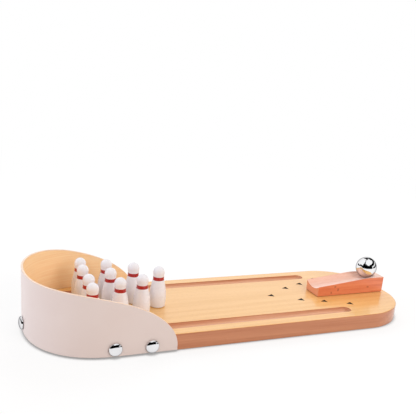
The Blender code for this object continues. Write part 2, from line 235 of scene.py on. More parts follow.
def ball_nosed_rod(radius: float, length: float, sides: int) -> Surface:
    """A round rod along Z whose upper end is a half ball centred at Z = 0."""
    return turned(np.vstack([[0, -length], [radius, -length], dome(radius, radius, 0.0, sides // 4)]), sides)


def rounded_slab(outline: np.ndarray, ways: np.ndarray, low: float, high: float, rounding: float) -> Surface:
    """A flat outline raised between two heights, with both rims rounded.

    Each point is the outline's own point plus its way out times r (cos t - 1), at a height that follows
    r sin t from the slab's lower and upper face, with t running over a quarter turn at each rim.

    Args:
        outline: Rows of x, y, anticlockwise seen from above.
        ways: The unit way out of the outline at each of its points.
        low: Height of the lower face.
        high: Height of the upper face.
        rounding: Radius of the rims.

    Returns:
        The closed surface, with one flat face below and one above.
    """
    quarter = quarter_turn(RIM_STEPS)
    pulled = np.concatenate([np.cos(quarter[::-1]), np.cos(quarter)]) * rounding - rounding
    height = np.concatenate([low + rounding - rounding * np.sin(quarter[::-1]),
                             high - rounding + rounding * np.sin(quarter)])
    across = outline[None] + ways[None] * pulled[:, None, None]
    points = np.dstack([across, np.repeat(height[:, None], len(outline), axis=1)]).reshape(-1, 3)
    here, quads = ring_quads(len(height), len(outline))
    return Surface(points, quads.tolist() + [here[0, ::-1].tolist(), here[-1].tolist()])


# Pieces


def make_piece(name: str, surface: Surface, materials: Sequence[Material]) -> Object:
    """Put a surface into a mesh object at the origin, with its faces outwards and its soft edges smooth.

    Args:
        name: The piece's name.
        surface: Its shell.
        materials: Its materials, in the order that the surface numbers them.

    Returns:
        The linked object.
    """
    mesh = bpy.data.meshes.new(name)
    mesh.from_pydata(surface.points.tolist(), [], surface.faces)
    for material in materials:
        mesh.materials.append(material)
    if surface.finishes is not None:
        mesh.polygons.foreach_set("material_index", surface.finishes.astype(np.int32))
    if surface.strip is not None:
        corners = np.zeros(len(mesh.loops), np.int32)
        mesh.loops.foreach_get("vertex_index", corners)
        layer = mesh.uv_layers.new(name="strip")
        layer.data.foreach_set("uv", surface.strip[corners].astype(np.float32).ravel())
    shell = bmesh.new()
    shell.from_mesh(mesh)
    bmesh.ops.recalc_face_normals(shell, faces=shell.faces)
    shell.to_mesh(mesh)
    shell.free()
    soften(mesh)
    piece = bpy.data.objects.new(name, mesh)
    bpy.context.scene.collection.objects.link(piece)
    return piece


def soften(mesh: Mesh) -> None:
    """Shade a mesh smooth, apart from edges that turn sharply."""
    mesh.shade_smooth()
    mesh.set_sharp_from_angle(angle=SMOOTH_ANGLE)


def bake_modifiers(piece: Object) -> None:
    """Turn a piece's modifiers into its mesh.

    Args:
        piece: The piece, which keeps none of them.
    """
    graph = bpy.context.evaluated_depsgraph_get()
    finished = bpy.data.meshes.new_from_object(piece.evaluated_get(graph))
    piece.modifiers.clear()
    piece.data = finished


def carve(piece: Object, cutters: Sequence[Object]) -> None:
    """Subtract cutters from a piece; a cut takes the cutter's material where it has one.

    Args:
        piece: The piece to cut.
        cutters: Closed objects, each used up by its cut.
    """
    for cutter in cutters:
        cut = piece.modifiers.new("cut", "BOOLEAN")
        cut.operation = "DIFFERENCE"
        cut.solver = "EXACT"
        cut.object = cutter
        cut.material_mode = "TRANSFER" if cutter.data.materials else "INDEX"
    bake_modifiers(piece)
    for cutter in cutters:
        bpy.data.objects.remove(cutter)
    soften(piece.data)


def ease_edges(piece: Object, width: float) -> None:
    """Round a cut piece's sharp edges as sandpaper would.

    Args:
        piece: The piece.
        width: How far the rounding reaches to each side of an edge.
    """
    rounding = piece.modifiers.new("eased edges", "BEVEL")
    rounding.width = width
    rounding.segments = BEVEL_STEPS
    rounding.limit_method = "ANGLE"
    rounding.angle_limit = SMOOTH_ANGLE
    bake_modifiers(piece)
    soften(piece.data)


def flatten_light(piece: Object) -> None:
    """Let the larger faces decide how their corners catch the light, so that flat faces stay even.

    Args:
        piece: The piece.
    """
    weighing = piece.modifiers.new("weighted light", "WEIGHTED_NORMAL")
    weighing.keep_sharp = True
    bake_modifiers(piece)


def settle(piece: Object, body: str, node: str) -> None:
    """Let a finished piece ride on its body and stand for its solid.

    Args:
        piece: The piece.
        body: The rigid body that it moves with.
        node: The solid that it is drawn in place of.
    """
    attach(piece, body)
    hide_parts(node)
    LOG.info("%s stands for %s, with %d faces", piece.name, node, len(piece.data.polygons))


# Finishes


def linear(hex_colour: str) -> tuple[float, float, float, float]:
    """Turn an sRGB hex colour into linear light.

    Args:
        hex_colour: The colour as #rrggbb.

    Returns:
        Red, green, blue and alpha, from 0 to 1.
    """
    channels = np.array([int(hex_colour[i:i + 2], 16) for i in (1, 3, 5)]) / 255
    curve = np.where(channels <= 0.04045, channels / 12.92, ((channels + 0.055) / 1.055) ** 2.4)
    return (*(float(value) for value in curve), 1.0)


def add_node(tree: NodeTree, kind: str, inputs: Optional[dict] = None, **settings: Any) -> Node:
    """Add a shader node with its settings, socket values and links.

    Args:
        tree: The node tree that gets the node.
        kind: The node's type without the words ShaderNode, such as Math.
        inputs: Socket name or number to what goes in: a number, a hex colour, an output, or a node, which
            stands for its first output in use.
        **settings: The node's own properties.

    Returns:
        The new node.
    """
    node = tree.nodes.new("ShaderNode" + kind)
    for name, value in settings.items():
        setattr(node, name, value)
    for socket, value in (inputs or {}).items():
        if isinstance(value, Node):
            value = next(output for output in value.outputs if output.enabled)
        if isinstance(value, NodeSocket):
            tree.links.new(value, node.inputs[socket])
        else:
            node.inputs[socket].default_value = linear(value) if isinstance(value, str) else value
    return node


def stretched_noise(tree: NodeTree, place: NodeSocket, size: Triple, detail: float,
                    roughness: float = 0.5, turn: Triple = (0.0, 0.0, 0.0)) -> Node:
    """Draw noise whose marks have a real length, width and depth.

    Args:
        tree: The material's nodes.
        place: The coordinates that it follows.
        size: Length, width and depth of one mark.
        detail: How many finer layers it has.
        roughness: How strong these are.
        turn: Angles that the marks are turned by.

    Returns:
        The noise, from 0 to 1.
    """
    local = add_node(tree, "Mapping", {"Vector": place, "Rotation": turn, "Scale": size},
                     vector_type="TEXTURE")
    return add_node(tree, "TexNoise", {"Vector": local, "Scale": 1.0, "Detail": detail,
                                       "Roughness": roughness})


@dataclass(frozen=True)
class Finish:
    """What a surface is made of and how it was made.

    Attributes:
        name: The material's name.
    """

    name: str

    def shader(self, tree: NodeTree) -> Node:
        """Draw the finish, each in its own way.

        Args:
            tree: The material's nodes.

        Returns:
            The shader.
        """
        raise NotImplementedError

    def material(self) -> Material:
        """Put the finish into a new material.

        Returns:
            The material.
        """
        material = bpy.data.materials.new(self.name)
        material.use_nodes = True
        tree = material.node_tree
        tree.nodes.clear()
        add_node(tree, "OutputMaterial", {"Surface": self.shader(tree)})
        return material


@dataclass(frozen=True)
class Groove:
    """A pair of straight grooves along the lane, whose wood is paler than other cut walls.

    Attributes:
        colour: The cut wood in the groove.
        face_height: Height of the planed face that the grooves are cut in.
        middle: Distance from the lane's middle to the middle of a groove.
        half_width: Half the width of a groove.
        end: Where the grooves end along the lane.
        depths: How deep the colour begins, and how deep it is full.
        reach: How far past its edges a groove's wood is looked for.
        wall_share: How strongly the colour shows on steep walls, which keep more of the darker wall colour as
            painted shade.
    """

    colour: str
    face_height: float
    middle: float
    half_width: float
    end: float
    depths: tuple[float, float] = (0.15 * MM, 0.7 * MM)
    reach: float = 0.5 * MM
    wall_share: float = 0.6

    def share(self, tree: NodeTree, place: NodeSocket) -> Node:
        """Find the grooves: deep enough, near their middle and before their end.

        Args:
            tree: The material's nodes.
            place: The point on the board.

        Returns:
            From 0 outside a groove to 1 in it.
        """
        x, y, z = add_node(tree, "SeparateXYZ", {0: place}).outputs
        begin, full = self.depths
        deep = add_node(tree, "MapRange", {"Value": z, "From Min": self.face_height - begin,
                                           "From Max": self.face_height - full},
                        interpolation_type="SMOOTHSTEP")
        side = add_node(tree, "Math", {0: y}, operation="ABSOLUTE")
        near = add_node(tree, "Math", {0: side, 1: self.middle, 2: self.half_width + self.reach},
                        operation="COMPARE")
        before = add_node(tree, "Math", {0: x, 1: self.end + self.reach}, operation="LESS_THAN")
        inside = add_node(tree, "Math", {0: near, 1: before}, operation="MULTIPLY")
        return add_node(tree, "Math", {0: deep, 1: inside}, operation="MULTIPLY")


@dataclass(frozen=True)
class SawnWood(Finish):
    """Sawn beech, clear-lacquered or bare: planed faces are pale, and walls where a cutter went are redder.

    Fine streaks and slow growth bands run along the grain, with short dark flecks between them. Where a
    planed face is paler or a wall redder than the wood alone would be, that is painted light: painted sheen
    on the face and painted shade on the wall.

    Attributes:
        face: Colour of the planed face, with painted sheen in it where it is paler than the wood.
        face_streak: Colour of its darker streaks.
        cut: Colour of edges and cut walls: the cut wood's own tone, with painted shade where it is darker
            than that.
        cut_streak: Colour of their darker streaks, and of the flecks.
        gloss: Weight of the clear coat.
        roughness: Roughness of the planed face.
        end_grain: Colour of the ends, sawn across the grain, or None where they look like the walls.
        groove: The grooves cut in the planed face, or None.
        slope: How upright a surface still counts as planed, from 0 to 1.
        slope_blur: How much less upright it is where it counts as a wall.
        end_facing: How squarely a face looks along the grain where it begins to count as an end, and
            where it fully does.
        grain: What the pattern follows.
        streak_size: Length, width and depth of one fine streak.
        fleck_size: The same for one fleck, drawn coarser than real beech so that it shows.
        fleck_share: How strongly the flecks darken the wood.
        fleck_edge: How much noise begins a fleck, and how much is a full one.
        contrast: How much noise counts as the palest wood, and how much without bands as the darkest.
        band_spacing: Distance between growth bands.
        band_stretch: How many times longer than that a bend of the bands is along the grain.
        band_share: How strongly the growth bands show beside the streaks.
        pith: Middle of the growth bands, seen along the grain.
        lean: Angles by which the grain leans off the board's length.
        coat_roughness: Roughness of the clear coat.
        cut_roughness: Roughness of edges and cut walls.
        fuzz: Weight of the pale nap that sanding leaves, which shows at low angles.
        knots: Places and radii of small dark knots.
        knot_rag: Width of one bay in a knot's ragged edge.
        knot_wander: How far that edge wanders, in the knot's radii.
        knot_edge: How many radii out, with the wandering, a knot is gone and is full.
        knot_colour: The knots' colour.
        knot_share: How strongly it shows.
    """

    face: str
    face_streak: str
    cut: str
    cut_streak: str
    gloss: float
    roughness: float
    end_grain: Optional[str] = None
    groove: Optional[Groove] = None
    slope: float = 0.9
    slope_blur: float = 0.3
    end_facing: tuple[float, float] = (0.6, 0.9)
    grain: Grain = Grain.BLOCK
    streak_size: Triple = (55 * MM, 0.9 * MM, 0.9 * MM)
    fleck_size: Triple = (2.6 * MM, 0.35 * MM, 0.35 * MM)
    fleck_share: float = 0.3
    fleck_edge: tuple[float, float] = (0.6, 0.72)
    contrast: tuple[float, float] = (0.4, 0.6)
    band_spacing: float = 4.5 * MM
    band_stretch: float = 30.0
    band_share: float = 0.2
    pith: Triple = (0.0, 14 * MM, -38 * MM)
    lean: Triple = (0.0, 0.012, 0.02)
    coat_roughness: float = 0.22
    cut_roughness: float = 0.62
    fuzz: float = 0.0
    knots: tuple[tuple[Triple, Triple], ...] = ()
    knot_rag: float = 0.9 * MM
    knot_wander: float = 1.1
    knot_edge: tuple[float, float] = (1.75, 1.05)
    knot_colour: str = "#7c2f16"
    knot_share: float = 0.6

    def streaks(self, tree: NodeTree, place: NodeSocket) -> Node:
        """Draw the grain: fine streaks with slow growth bands under them.

        Args:
            tree: The material's nodes.
            place: The coordinates that the grain follows.

        Returns:
            How dark the grain is, from 0 to 1.
        """
        fine = stretched_noise(tree, place, self.streak_size, detail=4.0, roughness=0.62)
        size = (self.band_spacing * self.band_stretch, self.band_spacing, self.band_spacing)
        local = add_node(tree, "Mapping", {"Vector": place, "Location": self.pith, "Rotation": self.lean,
                                           "Scale": size}, vector_type="TEXTURE")
        bands = add_node(tree, "TexWave", {"Vector": local, "Scale": WAVE_PERIOD, "Distortion": 3.0,
                                           "Detail": 2.0, "Detail Scale": 1.6, "Detail Roughness": 0.5},
                         wave_type="RINGS", rings_direction="X")
        both = add_node(tree, "Math", {0: bands.outputs["Fac"], 1: self.band_share, 2: fine},
                        operation="MULTIPLY_ADD")
        pale, dark = self.contrast
        return add_node(tree, "MapRange", {"Value": both, "From Min": pale,
                                           "From Max": dark + self.band_share})

    def walls_and_painted_shade(self, tree: NodeTree) -> Node:
        """Tell the cut walls, which are steep, from the planed face; the walls take the cut colour, with its
        painted shade.

        Args:
            tree: The material's nodes.

        Returns:
            From 0 on the planed face to 1 on a wall.
        """
        way = add_node(tree, "SeparateXYZ", {0: add_node(tree, "TexCoord").outputs["Normal"]})
        return add_node(tree, "MapRange", {"Value": way.outputs["Z"], "From Min": self.slope,
                                           "From Max": self.slope - self.slope_blur},
                        interpolation_type="SMOOTHSTEP")

    def end_faces(self, tree: NodeTree) -> Node:
        """Find the faces that look along the grain.

        Args:
            tree: The material's nodes.

        Returns:
            From 0 to 1 on such a face.
        """
        way = add_node(tree, "SeparateXYZ", {0: add_node(tree, "TexCoord").outputs["Normal"]})
        along = add_node(tree, "Math", {0: way.outputs["X"]}, operation="ABSOLUTE")
        begin, full = self.end_facing
        return add_node(tree, "MapRange", {"Value": along, "From Min": begin, "From Max": full},
                        interpolation_type="SMOOTHSTEP")

    def ragged_knots(self, tree: NodeTree, place: NodeSocket) -> Node:
        """Draw the small knots, whose edges are ragged.

        Args:
            tree: The material's nodes.
            place: The coordinates that the knots are placed in.

        Returns:
            From 0 in clear wood to 1 in a knot.
        """
        ragged = add_node(tree, "TexNoise", {"Vector": place, "Scale": 1 / self.knot_rag, "Detail": 2.0})
        gone, full = self.knot_edge
        found = 0.0
        for centre, radii in self.knots:
            local = add_node(tree, "Mapping", {"Vector": place, "Location": centre, "Scale": radii},
                             vector_type="TEXTURE")
            away = add_node(tree, "VectorMath", {0: local}, operation="LENGTH")
            wavy = add_node(tree, "Math", {0: ragged, 1: self.knot_wander, 2: away}, operation="MULTIPLY_ADD")
            inside = add_node(tree, "MapRange", {"Value": wavy, "From Min": gone, "From Max": full})
            found = add_node(tree, "Math", {0: found, 1: inside}, operation="MAXIMUM")
        return found

    def colour(self, tree: NodeTree, place: NodeSocket, streaks: Node, flecks: Node, steep: Node) -> Node:
        """Lay the wood's colours over each other: face, walls with their painted shade, ends, grooves, flecks
        and knots.

        Args:
            tree: The material's nodes.
            place: The coordinates that the grain follows.
            streaks: How dark the grain is.
            flecks: Where a fleck lies.
            steep: Where a wall is.

        Returns:
            The colour.
        """
        wood, wall = (add_node(tree, "Mix", {0: streaks, MIX_A: pale, MIX_B: dark}, data_type="RGBA")
                      for pale, dark in ((self.face, self.face_streak), (self.cut, self.cut_streak)))
        # steep walls take the cut colour: partly the cut wood's own tone, partly painted shade
        layers = [(steep, wall)]
        if self.end_grain:
            layers.append((self.end_faces(tree), self.end_grain))
        if self.groove:
            hollow = add_node(tree, "Mix", {0: streaks, MIX_A: self.groove.colour, MIX_B: self.cut},
                              data_type="RGBA")
            # steep groove walls keep more of the darker wall colour, a painted shade
            paler = add_node(tree, "MapRange", {"Value": steep, "To Min": 1.0,
                                                "To Max": self.groove.wall_share})
            inside = self.groove.share(tree, place)
            share = add_node(tree, "Math", {0: inside, 1: paler}, operation="MULTIPLY")
            layers.append((share, hollow))
        faint = add_node(tree, "Math", {0: flecks, 1: self.fleck_share}, operation="MULTIPLY")
        layers.append((faint, self.cut_streak))
        if self.knots:
            spots = self.ragged_knots(tree, place)
            share = add_node(tree, "Math", {0: spots, 1: self.knot_share}, operation="MULTIPLY")
            layers.append((share, self.knot_colour))
        for share, layer in layers:
            wood = add_node(tree, "Mix", {0: share, MIX_A: wood, MIX_B: layer}, data_type="RGBA")
        return wood

    def shader(self, tree: NodeTree) -> Node:
        """Return the wood under its clear coat.

        Args:
            tree: The material's nodes.

        Returns:
            The shader.
        """
        place = add_node(tree, "TexCoord").outputs[self.grain.value]
        streaks = self.streaks(tree, place)
        specks = stretched_noise(tree, place, self.fleck_size, detail=1.0)
        begin, full = self.fleck_edge
        flecks = add_node(tree, "MapRange", {"Value": specks, "From Min": begin, "From Max": full})
        steep = self.walls_and_painted_shade(tree)
        rough = add_node(tree, "MapRange", {"Value": steep, "To Min": self.roughness,
                                            "To Max": self.cut_roughness})
        relief = add_node(tree, "Math", {0: streaks, 1: 0.5, 2: flecks}, operation="MULTIPLY_ADD")
        bump = add_node(tree, "Bump", {"Height": relief, "Strength": 0.12, "Distance": 0.08 * MM},
                        invert=True)
        return add_node(tree, "BsdfPrincipled", {
            "Base Color": self.colour(tree, place, streaks, flecks, steep), "Roughness": rough,
            "IOR": CLEAR_IOR, "Coat Weight": self.gloss, "Coat Roughness": self.coat_roughness,
            "Sheen Weight": self.fuzz, "Sheen Roughness": 0.4, "Normal": bump})


@dataclass(frozen=True)
class ScorchedMark(Finish):
    """Wood scorched by a hot die: almost black, dull and a little uneven.

    Attributes:
        dark: Its darkest tone.
        light: Its lightest tone.
        grain_size: Length, width and depth of one grain.
    """

    name: str = "scorched_beech"
    dark: str = "#150d09"
    light: str = "#33201a"
    grain_size: Triple = (2.5 * MM, 0.5 * MM, 0.5 * MM)

    def shader(self, tree: NodeTree) -> Node:
        """Return the scorched wood.

        Args:
            tree: The material's nodes.

        Returns:
            The shader.
        """
        place = add_node(tree, "TexCoord").outputs["Object"]
        grains = stretched_noise(tree, place, self.grain_size, detail=3.0)
        colour = add_node(tree, "Mix", {0: grains, MIX_A: self.dark, MIX_B: self.light}, data_type="RGBA")
        bump = add_node(tree, "Bump", {"Height": grains, "Strength": 0.4, "Distance": 0.1 * MM})
        return add_node(tree, "BsdfPrincipled", {"Base Color": colour, "Roughness": 0.8, "Normal": bump})


@dataclass(frozen=True)
class WhiteLacquer(Finish):
    """Sprayed white lacquer over bent veneer: satin, faintly clouded, with the grain just showing through.

    Attributes:
        tint: The lacquer's colour.
        cloud: The colour that it drifts to where the coat is thinner.
        cloud_size: Width of one cloud.
        grain_size: Length, width and depth of the veneer's grain.
        peel_size: Width of one ripple of the sprayed coat.
        roughness: Roughness of the full coat, and of the coat where it is thinner.
    """

    name: str = "white_lacquer"
    tint: str = "#e4d6d0"
    cloud: str = "#dcc9c2"
    cloud_size: float = 38 * MM
    grain_size: Triple = (30 * MM, 0.8 * MM, 0.8 * MM)
    peel_size: float = 1.6 * MM
    roughness: tuple[float, float] = (0.34, 0.48)

    def shader(self, tree: NodeTree) -> Node:
        """Return the lacquer.

        Args:
            tree: The material's nodes.

        Returns:
            The shader.
        """
        place = add_node(tree, "TexCoord").outputs["UV"]
        clouds = add_node(tree, "TexNoise", {"Vector": place, "Scale": 1 / self.cloud_size, "Detail": 3.0})
        colour = add_node(tree, "Mix", {0: clouds, MIX_A: self.tint, MIX_B: self.cloud}, data_type="RGBA")
        grain = stretched_noise(tree, place, self.grain_size, detail=3.0)
        peel = add_node(tree, "TexNoise", {"Vector": place, "Scale": 1 / self.peel_size, "Detail": 1.0})
        relief = add_node(tree, "Math", {0: peel, 1: 0.5, 2: grain}, operation="MULTIPLY_ADD")
        bump = add_node(tree, "Bump", {"Height": relief, "Strength": 0.06, "Distance": 0.1 * MM})
        full, thin = self.roughness
        rough = add_node(tree, "MapRange", {"Value": clouds, "To Min": full, "To Max": thin})
        return add_node(tree, "BsdfPrincipled", {
            "Base Color": colour, "Roughness": rough, "IOR": CLEAR_IOR, "Coat Weight": 0.2,
            "Coat Roughness": 0.25, "Normal": bump})


@dataclass(frozen=True)
class PinEnamel(Finish):
    """Dipped white gloss enamel over turned wood, with one hand-painted red band.

    Attributes:
        band_low: Height of the band's lower edge.
        band_high: Height of its upper edge.
        white: The enamel.
        drift: The slightly warmer tone that it drifts to.
        drift_size: Width of one patch of that tone.
        red: The band.
        red_thin: The band where the brush left less paint.
        wander: How far the brush wandered at the band's edges.
        brush_size: Width of one such wandering.
        blur: Half the width over which an edge fades.
        lathe_size: Width, depth and height of one mark that the lathe left.
        roughness: Roughness of the enamel, and of its warmer patches.
    """

    band_low: float
    band_high: float
    white: str = "#eeeef2"
    drift: str = "#e7e4e9"
    drift_size: float = 9 * MM
    red: str = "#a10308"
    red_thin: str = "#b00a0f"
    wander: float = 0.22 * MM
    brush_size: float = 3 * MM
    blur: float = 0.04 * MM
    lathe_size: Triple = (40 * MM, 40 * MM, 0.7 * MM)
    roughness: tuple[float, float] = (0.2, 0.34)

    def shader(self, tree: NodeTree) -> Node:
        """Return the enamel.

        Args:
            tree: The material's nodes.

        Returns:
            The shader.
        """
        place = add_node(tree, "TexCoord").outputs["Object"]
        drift = add_node(tree, "TexNoise", {"Vector": place, "Scale": 1 / self.drift_size, "Detail": 2.0})
        brush = add_node(tree, "TexNoise", {"Vector": place, "Scale": 1 / self.brush_size, "Detail": 1.0})
        height = add_node(tree, "SeparateXYZ", {0: place}).outputs["Z"]
        wavy = add_node(tree, "Math", {0: brush, 1: self.wander, 2: height}, operation="MULTIPLY_ADD")
        middle = (self.band_low + self.band_high + self.wander) / 2
        reach = (self.band_high - self.band_low) / 2
        above = add_node(tree, "Math", {0: wavy, 1: middle}, operation="SUBTRACT")
        away = add_node(tree, "Math", {0: above}, operation="ABSOLUTE")
        band = add_node(tree, "MapRange", {"Value": away, "From Min": reach + self.blur,
                                           "From Max": reach - self.blur})
        white = add_node(tree, "Mix", {0: drift, MIX_A: self.white, MIX_B: self.drift}, data_type="RGBA")
        red = add_node(tree, "Mix", {0: brush, MIX_A: self.red, MIX_B: self.red_thin}, data_type="RGBA")
        colour = add_node(tree, "Mix", {0: band, MIX_A: white, MIX_B: red}, data_type="RGBA")
        lathe = stretched_noise(tree, place, self.lathe_size, detail=2.0)
        bump = add_node(tree, "Bump", {"Height": lathe, "Strength": 0.08, "Distance": 0.1 * MM})
        plain, warm = self.roughness
        rough = add_node(tree, "MapRange", {"Value": drift, "To Min": plain, "To Max": warm})
        return add_node(tree, "BsdfPrincipled", {
            "Base Color": colour, "Roughness": rough, "IOR": CLEAR_IOR, "Coat Weight": 0.5,
            "Coat Roughness": 0.12, "Normal": bump})


@dataclass(frozen=True)
class PolishedSteel(Finish):
    """Polished and plated steel: a near mirror, with hair-fine marks that spread its highlights a little.

    Attributes:
        colour: What the metal reflects straight on.
        smeared: What it reflects where handling has dulled it.
        edge: What it reflects at low angles: a grey that paints a dark rim round the outline, a painted dark
            reflection.
        mark_size: Length, width and depth of one handling mark.
        mark_turn: Angles that the marks are turned by.
        smear_size: Width of one dulled patch.
        wear: How much noise counts as clean metal, and how much as dulled.
        roughness: Roughness of the clean metal, and of the dulled.
    """

    colour: str = "#fafafb"
    smeared: str = "#f0f0f2"
    edge: str = "#8c8c8e"
    mark_size: Triple = (5 * MM, 0.5 * MM, 0.5 * MM)
    mark_turn: Triple = (0.5, 0.9, 0.3)
    smear_size: float = 6 * MM
    wear: tuple[float, float] = (0.12, 0.42)
    roughness: tuple[float, float] = (0.03, 0.08)

    def shader(self, tree: NodeTree) -> Node:
        """Return the metal.

        Args:
            tree: The material's nodes.

        Returns:
            The shader.
        """
        place = add_node(tree, "TexCoord").outputs["Object"]
        marks = stretched_noise(tree, place, self.mark_size, detail=3.0, turn=self.mark_turn)
        smear = add_node(tree, "TexNoise", {"Vector": place, "Scale": 1 / self.smear_size, "Detail": 2.0})
        both = add_node(tree, "Math", {0: marks, 1: smear}, operation="MULTIPLY")
        clean, dulled = self.wear
        smooth, hazy = self.roughness
        rough = add_node(tree, "MapRange", {"Value": both, "From Min": clean, "From Max": dulled,
                                            "To Min": smooth, "To Max": hazy})
        tone = add_node(tree, "Mix", {0: smear, MIX_A: self.colour, MIX_B: self.smeared}, data_type="RGBA")
        # the grey specular tint paints a dark rim at low angles, a painted dark reflection
        return add_node(tree, "BsdfPrincipled", {"Base Color": tone, "Metallic": 1.0, "Roughness": rough,
                                                 "Specular Tint": self.edge})


# The game


@dataclass
class LaneBoard:
    """The board: bent round at the pin end, with large corners at the player's end, gutters and marks.

    Its pairs of aiming marks are placed by shares of their field's length and of half the lane's width.
    """

    corner_radius: float = 40.0 * MM
    edge_rounding: float = 0.6 * MM
    lip_rounding: float = 0.25 * MM
    gutter_width: float = 9.2 * MM
    gutter_depth: float = 3.5 * MM
    gutter_margin: float = 8.4 * MM
    gutter_end_margin: float = 53.6 * MM
    mark_length: float = 5.1 * MM
    mark_width: float = 5.0 * MM
    mark_depth: float = 0.4 * MM
    mark_side_offset: float = 1.4 * MM
    mark_field_start: float = 101.5 * MM
    mark_field_length: float = 54.5 * MM
    mark_pair_shares: tuple[tuple[float, float], ...] = ((0.36, 0.40), (0.67, 0.61), (1.0, 0.88))
    low: Vector = field(default_factory=lambda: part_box("lane_board")[0])
    high: Vector = field(default_factory=lambda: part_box("lane_board")[1])

    @property
    def gutter_middle(self) -> float:
        """Distance from the lane's middle to the middle of a gutter."""
        return self.high.y - self.gutter_margin - self.gutter_width / 2

    def outline(self) -> tuple[np.ndarray, np.ndarray]:
        """Join the bend's two halves and the two corners.

        Returns:
            Rows of x, y, anticlockwise, and the unit way out at each.
        """
        half_width, inset = self.high.y, self.corner_radius
        far, far_ways = bend(half_width, 0.0)
        far = far + (self.low.x + half_width, 0.0)
        parts = [(far, far_ways), (far[-2::-1] * NEAR_SIDE, far_ways[-2::-1] * NEAR_SIDE)]
        for middle_y, turn in ((inset - half_width, -0.5), (half_width - inset, 0.0)):
            parts.append(round_corner((self.high.x - inset, middle_y), inset, turn, FINE_ROUND // 2))
        points, ways = zip(*parts)
        return np.vstack(points), np.vstack(ways)

    def gutter_cutter(self, side: int) -> Object:
        """Make one gutter's ball-nosed cutter, laid along the lane.

        Args:
            side: 1 for the far gutter, -1 for the near one.

        Returns:
            The cutter.
        """
        radius = (self.gutter_width ** 2 / 4 + self.gutter_depth ** 2) / (2 * self.gutter_depth)
        nose = self.high.x - self.gutter_end_margin - self.gutter_width / 2
        lift = self.high.z - self.gutter_depth + radius
        rod = ball_nosed_rod(radius, nose - self.low.x + CUT_OVERRUN, FINE_ROUND)
        start = Matrix.Translation((nose, side * self.gutter_middle, lift))
        return make_piece("gutter_cutter", rod.placed(start @ Matrix.Rotation(np.pi / 2, 4, "Y")), [])

    def mark_places(self) -> list[tuple[float, float]]:
        """Place the aiming marks: one in front, then three pairs that fan out.

        Returns:
            The middle of each mark, x and y.
        """
        front = self.high.x - self.mark_field_start
        lane_half = self.gutter_middle - self.gutter_width / 2
        pairs = [(front + along * self.mark_field_length, self.mark_side_offset + side * across * lane_half)
                 for along, across in self.mark_pair_shares for side in (-1, 1)]
        return [(front, self.mark_side_offset), *pairs]

    def mark_cutter(self, x: float, y: float, scorched: Material) -> Object:
        """Make one aiming mark's cutter: a flat triangle that points to the pins.

        Args:
            x: The mark's middle along the lane.
            y: Its middle across the lane.
            scorched: The material that it leaves.

        Returns:
            The cutter.
        """
        outline = np.array([(x - self.mark_length * 2 / 3, y),
                            (x + self.mark_length / 3, y - self.mark_width / 2),
                            (x + self.mark_length / 3, y + self.mark_width / 2)])
        low, high = self.high.z - self.mark_depth, self.high.z + CUT_OVERRUN
        points = np.vstack([np.column_stack([outline, np.full(3, height)]) for height in (low, high)])
        faces = [[2, 1, 0], [3, 4, 5], [0, 1, 4, 3], [1, 2, 5, 4], [2, 0, 3, 5]]
        return make_piece("mark_cutter", Surface(points, faces), [scorched])

    def build(self) -> None:
        """Make the board, cut it and dress it."""
        groove = Groove(colour="#e6b392", face_height=self.high.z, middle=self.gutter_middle,
                        half_width=self.gutter_width / 2, end=self.high.x - self.gutter_end_margin)
        # the darker cut colour on the board's edges and gutter walls is partly painted shade
        beech = SawnWood("lacquered_beech", face="#f5c27a", face_streak="#ecb467", cut="#c98459",
                         cut_streak="#ba7248", groove=groove, gloss=0.9, roughness=0.4,
                         coat_roughness=0.16).material()
        scorched = ScorchedMark().material()
        slab = rounded_slab(*self.outline(), self.low.z, self.high.z, self.edge_rounding)
        board = make_piece("lane", slab, [beech, scorched])
        carve(board, [self.gutter_cutter(side) for side in (-1, 1)])
        ease_edges(board, self.lip_rounding)
        carve(board, [self.mark_cutter(x, y, scorched) for x, y in self.mark_places()])
        flatten_light(board)
        settle(board, Body.BASE.value, "lane_board")


